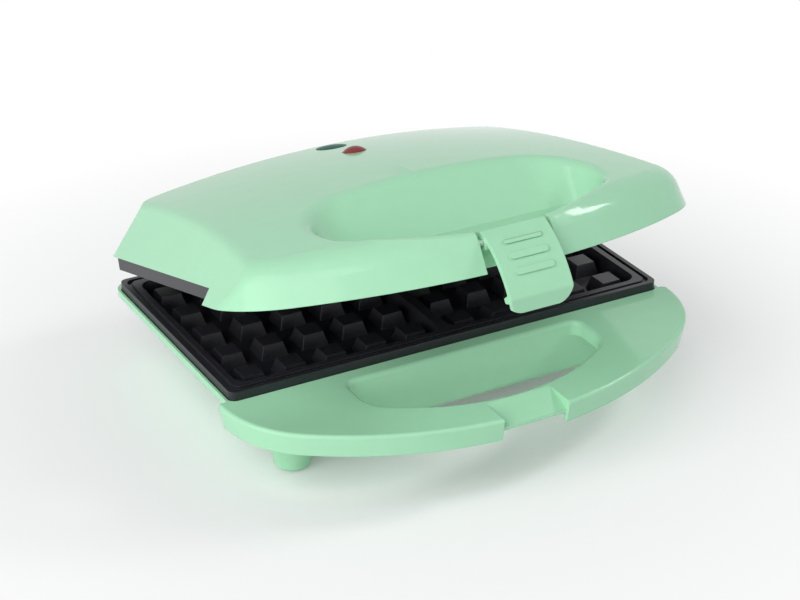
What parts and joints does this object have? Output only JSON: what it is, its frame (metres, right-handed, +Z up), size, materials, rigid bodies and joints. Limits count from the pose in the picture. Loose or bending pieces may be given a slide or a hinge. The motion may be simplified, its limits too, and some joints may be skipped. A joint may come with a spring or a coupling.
{
  "type": "waffle maker",
  "caption": "Countertop waffle maker: hinged domed lid with a hand hole, studded non-stick moulds, heaters, indicator lights and a swing latch at the front.",
  "frame": {"origin": "on the table, under the middle of the part's box", "axes": "+Z up, front with the latch towards -Y, +X to the right seen from the front"},
  "size_m": [0.2382, 0.2242, 0.1196],
  "materials": {
    "mint_plastic": "gloss mint moulding",
    "nonstick": "black non-stick coating on cast aluminium",
    "heater_sheath": "oxidised steel sheath",
    "zinc_steel": "zinc plated",
    "reflector_sheet": "bright rolled sheet",
    "foot_rubber": "matt rubber",
    "gland_plastic": "satin black",
    "terminal_plastic": "natural nylon",
    "thermostat_can": "phenolic",
    "green_lens": "clear dark green",
    "red_lens": "clear dark red",
    "lamp_glass": "clear glass"
  },
  "bodies": {
    "base": {"base_housing": "mint_plastic", "lower_plate": "nonstick", "lower_heater": "heater_sheath", "lower_heater_clips": "zinc_steel", "lower_reflector": "reflector_sheet", "lower_plate_screws": "zinc_steel", "foot_pads": "foot_rubber", "hinge_pins": "zinc_steel", "cord_gland": "gland_plastic", "terminal_block": "terminal_plastic"},
    "lid": {"lid_housing": "mint_plastic", "upper_plate": "nonstick", "upper_heater": "heater_sheath", "upper_heater_clips": "zinc_steel", "upper_reflector": "reflector_sheet", "upper_plate_screws": "zinc_steel", "thermostat": "thermostat_can", "thermal_fuse": "zinc_steel", "ready_lens": "green_lens", "power_lens": "red_lens", "neon_lamps": "lamp_glass", "latch_pin": "zinc_steel"},
    "latch": {"latch_clip": "mint_plastic"}
  },
  "joints": [
    {"name": "lid_hinge", "type": "hinge", "parent": "base", "child": "lid", "pos_m": [0, 0.10475, 0.0445], "axis": [-1, 0, 0], "range_deg": [-16.25, 78]},
    {"name": "latch_pivot", "type": "hinge", "parent": "lid", "child": "latch", "pos_m": [0, -0.08789, 0.1144], "axis": [-1, 0, 0], "range_deg": [-15.5, 33]}
  ]
}
